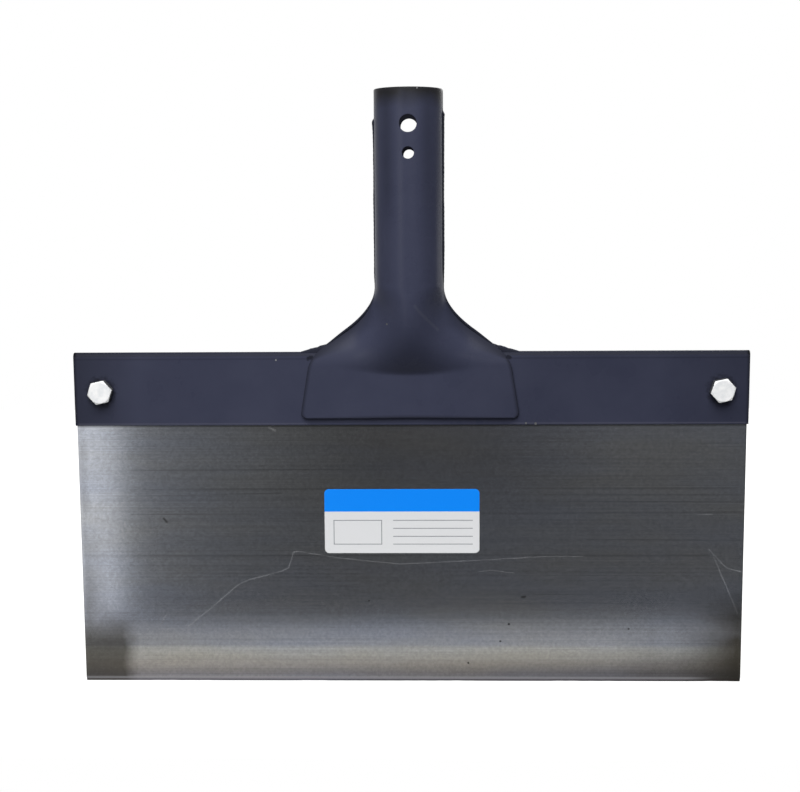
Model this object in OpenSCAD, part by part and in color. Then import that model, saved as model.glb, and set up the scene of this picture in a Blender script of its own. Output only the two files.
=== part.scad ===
// Floor scraper head: a wide steel blade bolted into a folded holder, on a pressed pole socket.
// Origin at the centre of the socket's mouth, +Z up along the pole, -Y towards the front.

/* [Blade] */
// Width of the blade along its cutting edge
blade_w = 300; // [160:5:500]
// Height of the blade that shows below the holder
blade_show = 119.2; // [80:0.1:200]
// Thickness of the blade
blade_t = 1.2; // [0.6:0.1:3]
// Height of the bevel ground on the front of the cutting edge
bevel_h = 2.2; // [0.5:0.1:6]
// Thickness left at the cutting edge
edge_t = 0.3; // [0.1:0.05:0.5]

/* [Holder] */
// Height of the folded holder
holder_h = 32.9; // [30:0.1:60]
// Thickness of the holder's sheet
holder_t = 1.5; // [0.8:0.1:3]
// How far the holder stands past the blade at each end
holder_over = 0.5; // [0:0.1:5]
// Gap over the blade's top edge, under the fold
fold_gap = 0.8; // [0.2:0.1:3]

/* [Pole socket] */
// Diameter of the pole that goes in
pole_d = 27; // [22:0.5:34]
// Clearance around the pole, on the radius
pole_clear = 0.1; // [0.05:0.05:0.5]
// Thickness of the two pressed shells
shell_t = 1.5; // [1:0.1:2.5]
// Length of the socket's straight tube
tube_l = 84.7; // [60:0.1:140]
// Diameter of the cross bolt's hole
cross_hole_d = 7.5; // [5:0.1:10]
// Cross bolt's hole, from the mouth to its centre
cross_hole_drop = 15.3; // [10:0.1:20]
// Diameter of the pole screw's hole
screw_hole_d = 5.1; // [3:0.1:7]
// Pole screw's hole, from the cross bolt's centre to its own
screw_hole_step = 12.4; // [10:0.1:25]

/* [Flare] */
// Length of the flare, from the tube's end to the top of the holder
flare_l = 29.7; // [24:0.1:50]
// Length of the rounded part of the flare's sides
flare_bend = 18.2; // [8:0.1:22]
// How far inside the pad's top corner the flare's side comes down on the holder
shoulder_in = 1.1; // [0:0.1:5]
// How far below the tube's end the front of the bulge starts to fall
chin_start = 4.2; // [0:0.1:10]
// How far the bulge runs down over the pad, below the top of the holder
chin_drop = 9.6; // [4:0.1:16]
// Radius of the arc that ends the bulge on the pad
chin_arc_r = 160; // [80:5:400]
// Blend at the foot of the bulge
chin_blend = 1.2; // [0.3:0.1:4]

/* [Pads] */
// Width of a pad at the top of the holder
pad_top_w = 85; // [75:0.5:120]
// How far each side of a pad leans out on its way down
pad_spread = 6; // [0:0.1:12]
// Height of a pad below the top of the holder
pad_h = 29.2; // [20:0.1:40]
// Radius of the pad's lower corners
pad_corner_r = 3; // [1:0.1:6]
// Blend between the flare's side and the pad's side
shoulder_blend = 2; // [0.5:0.1:5]

/* [Fasteners] */
// Thread diameter of the blade bolts
bolt_d = 6; // [5:0.5:7]
// Bolt centre, from the end of the holder
bolt_inset = 12.2; // [8:0.1:20]
// Bolt centre, below the top of the holder
bolt_drop = 17.5; // [12:0.1:22]
// Clearance of the bolt in the blade and the holder, on the radius
bolt_clear = 0.3; // [0.1:0.05:0.6]
// Width across the flats of bolt heads and nuts
hex_af = 9.8; // [9:0.1:13]
// Height of a bolt head
head_h = 4; // [2.5:0.1:6]
// Turn of the bolt heads and nuts from a level corner
hex_turn = 12; // [0:1:59]
// Height of a nut
nut_h = 5; // [3:0.1:7]
// Running clearance of a nut on its bolt, on the radius
nut_clear = 0.05; // [0.02:0.01:0.1]
// Outer diameter of a washer
washer_d = 12; // [10.5:0.5:16]
// Thickness of a washer
washer_t = 1.6; // [0.8:0.1:2.5]
// Clearance of a washer on its bolt, on the radius
washer_clear = 0.2; // [0.1:0.05:0.5]
// Length of thread past the nut
thread_past_nut = 5.2; // [3:0.1:12]

/* [Welds] */
// Where the left seam weld starts, below the mouth
seam_left_drop = 12; // [4:0.1:40]
// Where the right seam weld starts, below the mouth
seam_right_drop = 8.9; // [4:0.1:40]
// How far a seam weld stands proud of the tube
seam_proud = 0.5; // [0.2:0.1:1.5]
// How deep a seam weld runs into the shells
seam_depth = 1.2; // [0.6:0.1:1.4]
// How far the blob at the start of a seam weld stands proud
blob_proud = 1; // [0.3:0.1:2]
// How far a toe weld reaches out along the holder, past the pad's top corner
toe_reach = 6; // [2:0.1:12]
// Height of a toe weld over the holder beside the flare
toe_h = 4; // [1:0.1:6]

/* [Label] */
// Width of the blank label
label_w = 70; // [30:1:120]
// Height of the blank label
label_h = 29.5; // [15:0.1:60]
// Thickness of the label
label_t = 0.12; // [0.05:0.01:0.3]
// Radius of the label's corners
label_corner_r = 2; // [0.5:0.1:5]
// Label's top edge, below the holder
label_drop = 29.4; // [10:0.05:40]
// Label's centre, to the left of the middle
label_left = 3.9; // [0:0.1:30]

/* [Hidden] */
$fn = 64;

// Colours of the finishes
paint = "#3c3f50";
ground_steel = "#8a8986";
zinc = "#d8dadc";
label_stock = "#ecedee";

// Levels, from the mouth down
holder_top = -(tube_l + flare_l);
holder_foot = holder_top - holder_h;
edge_z = holder_foot - blade_show;

// Thicknesses, out from the middle plane of the blade
holder_half_t = blade_t / 2 + holder_t;
pad_y = holder_half_t + shell_t;
holder_w = blade_w + 2 * holder_over;
blade_h = blade_show + holder_h - holder_half_t - fold_gap;

// Socket
bore_r = pole_d / 2 + pole_clear;
tube_r = bore_r + shell_t;
past = 1;

// Flare: depths are counted down from the tube's end
flare_slope = (pad_top_w / 2 - shoulder_in - tube_r) / (flare_l - flare_bend / 2);
pad_foot_d = flare_l + pad_h;
chin_foot_d = flare_l + chin_drop;
pad_lean = pad_spread / (pad_h - pad_corner_r);
bell_top = 0.5; // power of the half circle
bell_foot = 2.4; // power of the bell over the holder
sharp = 0.001;  // least blend, where a crease has none
neck_l = 2;
neck_tuck = 0.3;
shell_cols = 20;
flare_rows = 16;
corner_rows = 4;

// Welds
weld_sides = 8;
seam_step = 5;
seam_flare_rows = 12;
blob_l = 3;
seam_fade_l = 16; // over this length, about the tube's end, the seam weld sinks flush with the flare
seam_fill = 0.7; // share of the opening between the shells that the seam weld fills
toe_rows = 6;
toe_tip_h = 0.1;
toe_tip_half = 1.2;
toe_half = pad_y;

// Fasteners
bolt_x = holder_w / 2 - bolt_inset;
bolt_z = holder_top - bolt_drop;
bolt_r = bolt_d / 2;
grip = 2 * holder_half_t;
bolt_l = grip + washer_t + nut_h + thread_past_nut;
hex_face_share = 0.95; // round face of a head, as a share of the width across its flats
hex_face_r = hex_af / 2 * hex_face_share;
hex_corner_r = hex_af / 2 / cos(30);
hex_turned_r = hex_corner_r + past;
hex_chamfer = (hex_turned_r - hex_face_r) * tan(30);
tip_chamfer = 0.6;

// Curves
function ease(x) = let (t = min(max(x, 0), 1)) t * t * (3 - 2 * t);
function soft_min(a, b, k) = let (h = max(k - abs(a - b), 0) / k) min(a, b) - h * h * k / 4;
function soft_max(a, b, k) = -soft_min(-a, -b, k);

// Half width of the flare's side at depth d: a parabola that runs into a straight line
function flare_side(d) =
    let (bent = min(max(d, 0), flare_bend))
    tube_r + flare_slope / (2 * flare_bend) * bent * bent + flare_slope * max(d - flare_bend, 0);

// Half width of the pad's leaning side at depth d
function pad_side(d) = pad_top_w / 2 + pad_lean * (d - flare_l);

// What the round lower corner takes off the half width at depth d
function corner_cut(d) =
    let (in = min(max(d - (pad_foot_d - pad_corner_r), 0), pad_corner_r))
    pad_corner_r - sqrt(pad_corner_r * pad_corner_r - in * in);

function shell_side(d) = soft_min(flare_side(d), pad_side(d), shoulder_blend) - corner_cut(d);

// How far the section has opened, from 0 at the round tube to 1 where it lies on the holder
function opened(d) = ease(d / flare_l);

// Height of the bulge's crown over the middle plane, where the arc at its foot brings it down to the pad
function crown(d, x) =
    let (arc = chin_arc_r - sqrt(max(chin_arc_r * chin_arc_r - x * x, 0)))
    let (fall = max(d + arc - chin_start, 0) / (chin_foot_d - chin_start))
    tube_r - (tube_r - pad_y) * fall * fall;

// A point of the rear shell at depth d and angle a across it; inset goes to the inner face
function shell_point(d, a, inset, tuck) =
    let (side = shell_side(d) - inset * (1 - opened(d)) - tuck)
    let (x = side * sin(a))
    let (rim = opened(d) * (pad_y - inset) + abs(tuck))
    let (hump = soft_max(crown(d, x) - inset - tuck - rim, 0, chin_blend * opened(d) + sharp))
    let (bell = bell_top + (bell_foot - bell_top) * opened(d))
    [x, rim + hump * pow(cos(a), 2 * bell), -tube_l - d];

// Depths of the rows, each with the tuck that keeps the neck inside the tube's wall
shell_rows = concat(
    [[-neck_l, neck_tuck], [0, neck_tuck]],
    [for (i = [0 : flare_rows]) [neck_tuck + (chin_foot_d - neck_tuck) * i / flare_rows, 0]],
    [[chin_foot_d + chin_blend, 0]],
    [for (i = [0 : corner_rows]) [pad_foot_d - pad_corner_r * (1 - sin(90 * i / corner_rows)), 0]]
);

// Closed skin over two grids of points that share their rims
module skin(outer, inner) {
    rows = len(outer);
    cols = len(outer[0]);
    inside = rows * cols;
    at = function (i, j) i * cols + j;
    grid_faces = [for (i = [0 : rows - 2]) for (j = [0 : cols - 2])
        each [[at(i, j), at(i + 1, j + 1), at(i, j + 1)], [at(i, j), at(i + 1, j), at(i + 1, j + 1)]]];
    rim = concat(
        [for (j = [0 : cols - 1]) at(0, j)],
        [for (i = [1 : rows - 1]) at(i, cols - 1)],
        [for (j = [cols - 2 : -1 : 0]) at(rows - 1, j)],
        [for (i = [rows - 2 : -1 : 1]) at(i, 0)]
    );
    polyhedron(
        points = concat([for (r = outer) each r], [for (r = inner) each r]),
        faces = concat(
            grid_faces,
            [for (f = grid_faces) [inside + f[2], inside + f[1], inside + f[0]]],
            [for (k = [0 : len(rim) - 1])
                let (p = rim[k], q = rim[(k + 1) % len(rim)])
                each [[p, inside + q, inside + p], [p, q, inside + q]]]
        )
    );
}

// Tube of oval rings: each ring is [centre, direction out, half size out, half size in Y]
module bead(rings) {
    last = len(rings) - 1;
    around = [for (k = [0 : weld_sides - 1]) 360 * k / weld_sides];
    polyhedron(
        points = [for (r = rings) for (a = around)
            r[0] + r[1] * r[2] * cos(a) + [0, r[3] * sin(a), 0]],
        faces = concat(
            [[for (k = [weld_sides - 1 : -1 : 0]) k]],
            [[for (k = [0 : weld_sides - 1]) last * weld_sides + k]],
            [for (i = [0 : last - 1]) for (k = [0 : weld_sides - 1])
                let (p = i * weld_sides, q = (k + 1) % weld_sides)
                each [[p + k, p + q, p + weld_sides + q], [p + k, p + weld_sides + q, p + weld_sides + k]]]
        )
    );
}

// Puts the local Z axis along -Y, so that a fastener looks out of the front
module facing_front(x, z) {
    translate([x, -holder_half_t, z])
        rotate([90, 0, 0])
            children();
}

module bolt_holes() {
    for (side = [-1, 1])
        facing_front(side * bolt_x, bolt_z)
            translate([0, 0, -grip - past])
                cylinder(r = bolt_r + bolt_clear, h = grip + 2 * past);
}

// Hexagon of height h, with its corners chamfered at the top, and at the foot too on a nut
module hexagon(h, both_ends) {
    foot = both_ends ? [[hex_face_r, 0], [hex_turned_r, hex_chamfer]] : [[hex_turned_r, 0]];
    intersection() {
        rotate(hex_turn)
            cylinder(r = hex_corner_r, h = h, $fn = 6);
        rotate_extrude()
            polygon(concat(
                [[0, 0]], foot, [[hex_turned_r, h - hex_chamfer], [hex_face_r, h], [0, h]]
            ));
    }
}

module blade() {
    color(ground_steel)
    difference() {
        translate([-blade_w / 2, 0, 0])
            rotate([90, 0, 90])
                linear_extrude(blade_w)
                    polygon([
                        [blade_t / 2, edge_z], [blade_t / 2, edge_z + blade_h],
                        [-blade_t / 2, edge_z + blade_h], [-blade_t / 2, edge_z + bevel_h],
                        [blade_t / 2 - edge_t, edge_z]
                    ]);
        bolt_holes();
    }
}

// Outline of a bar of half thickness r with a round top at the level of the holder's fold
module folded_bar(r, foot) {
    bend_z = holder_top - holder_half_t;
    translate([-r, foot])
        square([2 * r, bend_z - foot]);
    translate([0, bend_z])
        circle(r);
}

module blade_holder() {
    color(paint)
    difference() {
        translate([-holder_w / 2, 0, 0])
            rotate([90, 0, 90])
                linear_extrude(holder_w)
                    difference() {
                        folded_bar(holder_half_t, holder_foot);
                        folded_bar(blade_t / 2, holder_foot - past);
                    }
        bolt_holes();
    }
}

// Half of the socket: half a tube, with the flare and the pad pressed out of the same sheet
module socket_half() {
    angles = [for (j = [0 : shell_cols]) -90 + 180 * j / shell_cols];
    difference() {
        union() {
            intersection() {
                translate([0, 0, -tube_l])
                    difference() {
                        cylinder(r = tube_r, h = tube_l);
                        translate([0, 0, -past])
                            cylinder(r = bore_r, h = tube_l + 2 * past);
                    }
                translate([-2 * tube_r, 0, -tube_l - past])
                    cube([4 * tube_r, 2 * tube_r, tube_l + 2 * past]);
            }
            skin(
                [for (r = shell_rows) [for (a = angles) shell_point(r[0], a, 0, r[1])]],
                [for (r = shell_rows) [for (a = angles) shell_point(r[0], a, shell_t, -r[1])]]
            );
        }
        translate([0, 0, -cross_hole_drop])
            rotate([-90, 0, 0])
                cylinder(d = cross_hole_d, h = 2 * tube_r);
        translate([0, 0, -cross_hole_drop - screw_hole_step])
            rotate([-90, 0, 0])
                cylinder(d = screw_hole_d, h = 2 * tube_r);
    }
}

module socket_rear_shell() {
    color(paint) socket_half();
}

module socket_front_shell() {
    color(paint) mirror([0, 1, 0]) socket_half();
}

// Weld along one side of the socket, from its start down to the foot of the flare
module seam_weld(side, start) {
    swell = blob_proud - seam_proud;
    tube_steps = ceil((tube_l - start - blob_l) / seam_step);
    flare_end = flare_l - toe_h;
    ring = function (d, more)
        let (lean = d > 0 ? flare_slope * min(d / flare_bend, 1) : 0)
        let (out = [side, 0, lean] / sqrt(1 + lean * lean))
        let (edge = [side * shell_side(d), 0, -tube_l - d])
        let (proud = seam_proud * (1 - ease(d / seam_fade_l + 0.5)) + more)
        let (deep = (proud + seam_depth) / 2)
        [edge + out * (proud - deep), out, deep, deep + opened(d) * pad_y * seam_fill];
    color(paint)
        bead(concat(
            [ring(start - tube_l, -seam_proud), ring(start - tube_l + blob_l / 3, swell),
             ring(start - tube_l + blob_l * 2 / 3, swell)],
            [for (i = [0 : tube_steps]) ring((start + blob_l - tube_l) * (1 - i / tube_steps), 0)],
            [for (i = [1 : seam_flare_rows]) ring(flare_end * i / seam_flare_rows, 0)]
        ));
}

module seam_weld_left() {
    mirror([1, 0, 0]) seam_weld(1, seam_left_drop);
}

module seam_weld_right() {
    seam_weld(1, seam_right_drop);
}

// Weld at the foot of the flare: a wedge that lies on the fold and thins out along the holder
module toe_weld(side) {
    x_in = shell_side(flare_l - 2 * toe_h);
    x_out = pad_top_w / 2 + toe_reach;
    color(paint)
        bead([for (i = [0 : toe_rows])
            let (t = i / toe_rows)
            let (top = holder_top + toe_h * (1 - t) + toe_tip_h)
            let (foot = holder_top - holder_t / 2)
            [[side * (x_in + (x_out - x_in) * t), 0, (top + foot) / 2], [0, 0, side],
             (top - foot) / 2, toe_half + (toe_tip_half - toe_half) * t]]);
}

module toe_weld_left() {
    toe_weld(-1);
}

module toe_weld_right() {
    toe_weld(1);
}

module blade_bolt(side) {
    color(zinc)
    facing_front(side * bolt_x, bolt_z)
        union() {
            hexagon(head_h, false);
            rotate_extrude()
                polygon([
                    [0, -bolt_l], [bolt_r - tip_chamfer, -bolt_l], [bolt_r, -bolt_l + tip_chamfer],
                    [bolt_r, past], [0, past]
                ]);
        }
}

module bolt_left() {
    blade_bolt(-1);
}

module bolt_right() {
    blade_bolt(1);
}

module plain_washer(side) {
    color(zinc)
    facing_front(side * bolt_x, bolt_z)
        translate([0, 0, -grip - washer_t])
            difference() {
                cylinder(d = washer_d, h = washer_t);
                translate([0, 0, -past])
                    cylinder(r = bolt_r + washer_clear, h = washer_t + 2 * past);
            }
}

module washer_left() {
    plain_washer(-1);
}

module washer_right() {
    plain_washer(1);
}

module hex_nut(side) {
    color(zinc)
    facing_front(side * bolt_x, bolt_z)
        translate([0, 0, -grip - washer_t - nut_h])
            difference() {
                hexagon(nut_h, true);
                translate([0, 0, -past])
                    cylinder(r = bolt_r + nut_clear, h = nut_h + 2 * past);
            }
}

module nut_left() {
    hex_nut(-1);
}

module nut_right() {
    hex_nut(1);
}

module label() {
    r = label_corner_r;
    color(label_stock)
    translate([-label_left - label_w / 2, -blade_t / 2, holder_foot - label_drop - label_h])
        rotate([90, 0, 0])
            linear_extrude(label_t)
                union() {
                    translate([r, 0]) square([label_w - 2 * r, label_h]);
                    translate([0, r]) square([label_w, label_h - 2 * r]);
                    for (x = [r, label_w - r], y = [r, label_h - r])
                        translate([x, y]) circle(r);
                }
}

blade();
blade_holder();
socket_front_shell();
socket_rear_shell();
seam_weld_left();
seam_weld_right();
toe_weld_left();
toe_weld_right();
bolt_left();
bolt_right();
washer_left();
washer_right();
nut_left();
nut_right();
label();
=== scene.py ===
import math

import bmesh
import bpy
import numpy as np
from mathutils import Matrix, Vector


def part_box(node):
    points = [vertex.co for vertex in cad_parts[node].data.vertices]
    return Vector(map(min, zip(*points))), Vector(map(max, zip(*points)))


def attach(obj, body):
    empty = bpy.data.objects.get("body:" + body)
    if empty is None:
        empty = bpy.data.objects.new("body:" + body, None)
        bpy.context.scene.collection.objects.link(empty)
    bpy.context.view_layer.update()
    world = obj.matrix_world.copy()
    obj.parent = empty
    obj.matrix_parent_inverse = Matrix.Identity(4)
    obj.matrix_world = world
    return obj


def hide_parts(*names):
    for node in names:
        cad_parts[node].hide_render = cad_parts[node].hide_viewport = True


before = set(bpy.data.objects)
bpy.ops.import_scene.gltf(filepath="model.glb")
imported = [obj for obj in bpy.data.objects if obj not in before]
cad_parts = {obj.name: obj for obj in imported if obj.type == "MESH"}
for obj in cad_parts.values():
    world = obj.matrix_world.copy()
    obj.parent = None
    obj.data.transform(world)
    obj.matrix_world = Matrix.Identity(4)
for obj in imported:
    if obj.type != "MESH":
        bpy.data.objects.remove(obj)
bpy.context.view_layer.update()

mm = 0.001
mergeGap = 1e-7
scene = bpy.context.scene
scene.view_settings.view_transform = "Standard"


def boxMm(node):  # lowest and highest corner of a CAD node, in mm
    low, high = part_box(node)
    return np.array(low) / mm, np.array(high) / mm


bladeLow, bladeHigh = boxMm("blade")
holderLow, holderHigh = boxMm("blade_holder")
tubeRadius = boxMm("socket_rear_shell")[1][1]
holderTop = holderHigh[2]
holderHalf = holderHigh[1]
bladeHalf = bladeHigh[1]


# Grids and sheets, all in mm until they become a mesh

def patch(grid, closed=False, keep=None, sootAndShade=None):
    # A grid of points as quads. Closed joins its last column to its first, and keep says which quads stay.
    rows, cols = grid.shape[:2]
    i, j = np.meshgrid(np.arange(rows - 1), np.arange(cols if closed else cols - 1), indexing="ij")
    right = (j + 1) % cols
    quads = np.stack([i * cols + j, i * cols + right, (i + 1) * cols + right, (i + 1) * cols + j], -1)
    quads = quads.reshape(-1, 4) if keep is None else quads[keep]
    return grid.reshape(-1, 3), quads, np.zeros(rows * cols) if sootAndShade is None else sootAndShade.reshape(-1)


def makePiece(name, patches, material, body, nodes, sharpDegrees=35, flatUv=False):
    counts = np.cumsum([0] + [len(points) for points, _, _ in patches])
    points = np.concatenate([points for points, _, _ in patches]) * mm
    quads = np.concatenate([quads + start for (_, quads, _), start in zip(patches, counts)])
    mesh = bpy.data.meshes.new(name)
    mesh.from_pydata(points.tolist(), [], quads.tolist())
    mesh.attributes.new("sootAndShade", "FLOAT", "POINT").data.foreach_set(
        "value", np.concatenate([sootAndShade for _, _, sootAndShade in patches]).astype(np.float32))
    shape = bmesh.new()
    shape.from_mesh(mesh)
    bmesh.ops.remove_doubles(shape, verts=shape.verts, dist=mergeGap)
    bmesh.ops.recalc_face_normals(shape, faces=shape.faces)
    shape.to_mesh(mesh)
    shape.free()
    mesh.shade_smooth()
    mesh.set_sharp_from_angle(angle=math.radians(sharpDegrees))
    if flatUv:  # U along X and V along Z, in metres, so that a tangent can follow the grinding
        corner = np.empty(len(mesh.loops), np.int32)
        mesh.loops.foreach_get("vertex_index", corner)
        place = np.empty(len(mesh.vertices) * 3, np.float32)
        mesh.vertices.foreach_get("co", place)
        flat = place.reshape(-1, 3)[corner][:, [0, 2]]
        mesh.uv_layers.new(name="flat").data.foreach_set("uv", flat.ravel())
    mesh.materials.append(material)
    piece = bpy.data.objects.new(name, mesh)
    scene.collection.objects.link(piece)
    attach(piece, body)
    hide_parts(*nodes)
    print("piece", name, len(mesh.polygons), "faces")


quarter = np.linspace(0, np.pi / 2, 5)  # steps round an edge


def rimmed(low, high, count, radius):  # stations from low to high, each end doubled and rounded
    turn = radius * (1 - np.cos(quarter))
    middle = np.linspace(low + radius, high - radius, count)[1:-1]
    return np.concatenate([[low], low + turn, middle, high - turn[::-1], [high]])


def runFromRim(grid, axis):  # length along the grid from the nearer of its two ends
    step = np.linalg.norm(np.diff(grid, axis=axis), axis=-1)
    run = np.insert(np.cumsum(step, axis=axis), 0, 0, axis=axis)
    return np.minimum(run, run.take([-1], axis=axis) - run)


def sheetSkin(front, rear, radius):
    # Both faces of a sheet, and the gap to its rim. Near the rim each face comes in along a quarter round,
    # half - r + sqrt(r^2 - (r - gap)^2), and at the rim itself the two meet in the middle.
    middle = (front + rear) / 2
    half = np.linalg.norm(front - rear, axis=-1) / 2
    gap = np.minimum(runFromRim(middle, 0), runFromRim(middle, 1))
    lift = half - radius + np.sqrt(radius ** 2 - np.clip(radius - gap, 0, radius) ** 2)
    pinch = 1 - lift / half
    pinch[[0, -1]] = 1
    pinch[:, [0, -1]] = 1
    pull = pinch[..., None]
    return front + (middle - front) * pull, rear + (middle - rear) * pull, gap


def wavy(x, *turns):  # sum of sines with periods in mm and shrinking heights, within about -1 to 1
    return sum(np.sin(2 * np.pi * x / period + 1.7 * k) / (k + 1) for k, period in enumerate(turns)) / 1.6


def ease(x):  # t^2 (3 - 2 t)
    t = np.clip(x, 0, 1)
    return t * t * (3 - 2 * t)


def softMin(a, b, k):  # the smaller of two values, rounded over a width k where they cross
    h = np.clip(k - np.abs(a - b), 0, None) / k
    return np.minimum(a, b) - h * h * k / 4


# Materials

def hexLinear(code):  # sRGB hex to linear: c / 12.92 in the dark end, else ((c + 0.055) / 1.055)^2.4
    c = np.array([int(code[i:i + 2], 16) for i in (1, 3, 5)]) / 255
    return (*np.where(c <= 0.04045, c / 12.92, ((c + 0.055) / 1.055) ** 2.4), 1.0)


def addNode(tree, kind, inputs=(), **settings):
    # One node with its settings. Inputs go to the sockets in order, or by name or number from a dictionary.
    # Each is a value, a hex colour, a socket to link, or a node, whose first live output is linked.
    node = tree.nodes.new("ShaderNode" + kind)
    for name, value in settings.items():
        setattr(node, name, value)
    for socket, value in (inputs if isinstance(inputs, dict) else dict(enumerate(inputs))).items():
        if isinstance(value, bpy.types.Node):
            value = next(output for output in value.outputs if output.enabled)
        if isinstance(value, bpy.types.NodeSocket):
            tree.links.new(value, node.inputs[socket])
        else:
            node.inputs[socket].default_value = hexLinear(value) if isinstance(value, str) else value
    return node


def newMaterial(name):
    material = bpy.data.materials.new(name)
    material.use_nodes = True
    material.node_tree.nodes.clear()
    return material, material.node_tree


def perMm(size):  # texture scale for a pattern of that many mm
    return 1 / (size * mm)


def strongest(tree, masks):  # the largest of several masks at each point
    best = masks[0]
    for mask in masks[1:]:
        best = addNode(tree, "Math", (best, mask), operation="MAXIMUM")
    return best


def layered(tree, colour, layers):  # a ground colour with others laid over it, each a mask and its colour
    for mask, tint in layers:
        colour = addNode(tree, "Mix", {0: mask, 6: colour, 7: tint}, data_type="RGBA")
    return colour


marks = {"spotFades": (1.5, 1.1), "lineCore": 0.2}  # a spot's fade in radii, and how much of a line is full


def spotMask(tree, place, grain, spots):  # ragged spots, each x, y, z and a radius in mm
    masks = []
    for x, y, z, radius in spots:
        away = addNode(tree, "VectorMath", (place, (x * mm, y * mm, z * mm)), operation="DISTANCE")
        ragged = addNode(tree, "Math", (grain, radius * mm, away), operation="MULTIPLY_ADD")
        fades = [fade * radius * mm for fade in marks["spotFades"]]
        masks.append(addNode(tree, "MapRange", (ragged, *fades)))
    return strongest(tree, masks)


def scoreMask(tree, place, lines):
    # Lines seen along Y, each a width and its points as x, z: for every run from a to b the distance is
    # |p - a - t (b - a)|, with t held between the ends
    flat = addNode(tree, "VectorMath", (place, (1, 0, 1)), operation="MULTIPLY")
    masks = []
    for width, points in lines:
        for (ax, az), (bx, bz) in zip(points, points[1:]):
            along = Vector(((bx - ax) * mm, 0, (bz - az) * mm))
            off = addNode(tree, "VectorMath", (flat, (ax * mm, 0, az * mm)), operation="SUBTRACT")
            share = addNode(tree, "VectorMath", (off, along / along.length_squared), operation="DOT_PRODUCT")
            held = addNode(tree, "Clamp", (share,))
            foot = addNode(tree, "VectorMath", {0: along, "Scale": held}, operation="SCALE")
            away = addNode(tree, "VectorMath", (off, foot), operation="DISTANCE")
            masks.append(addNode(tree, "MapRange", (away, width * mm, marks["lineCore"] * width * mm)))
    return strongest(tree, masks)


enamel = {
    # the soot colour darkens for weld scorch and for painted shade; the worn colour is a painted highlight
    # along the holder's foot
    "light": "#424558", "dark": "#3c3f52", "rim": "#303033", "sootAndShade": "#15161b", "worn": "#6c6c7a",
    "bare": "#a9aaab", "mottle": 45.0, "mottleFades": (0.35, 0.65), "grain": 1.2,
    "peel": 1.8, "peelDepth": 0.01, "rimBand": 5.5, "rimFade": 7.0, "rimBreak": 11.0,
    # the mottle from and to, and the roughness there
    "sheen": (0.3, 0.7, 0.25, 0.33), "sootAndShadeRoughness": 0.95, "specular": 0.07,
    # painted shade: darker towards the holder's ends and its right side, and below the flare: the axis, from
    # and to along it, and the shade
    "thick": (("X", -10.0, -60.0, 0.94), ("X", -122.0, -150.0, 0.58), ("X", 10.0, 55.0, 0.85),
              ("X", 110.0, 150.0, 0.75), ("Z", -102.0, -114.0, 0.9)),
    "nicks": [(51.8, -2.1, -146.5, 0.5), (56.0, -2.1, -146.8, 0.6), (-59.6, -2.1, -117.9, 0.45),
              (4.0, -14.6, -0.6, 0.4), (-10.0, -8.8, -101.5, 0.55), (-43.9, -2.6, -114.6, 0.4)],
    # painted shadows in the clefts beside the pad's top corners, each x, y, z and a radius in mm
    "cleftShadows": [(-45.2, -2.7, -117.2, 1.3), (-44.0, -2.8, -116.7, 1.7), (43.5, -3.0, -116.5, 1.7),
               (44.4, -2.7, -117.2, 1.3)], "cleftShadowShare": 0.75,
    # painted shadow rings round the bolts, each x, y, z and a radius in mm
    "boltShadowRings": [(-138.3, -2.1, -131.9, 7.6), (138.3, -2.1, -131.9, 7.6)], "boltShadowShare": 0.7,
    # a painted highlight along a pressed crease on the flare: its width, and its points as x and z
    "drawn": [(0.9, [(2.6, -93.3), (4.9, -96.4), (8.9, -100.6), (12.5, -104.2)])], "creaseHighlightShare": 0.035,
}


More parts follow.
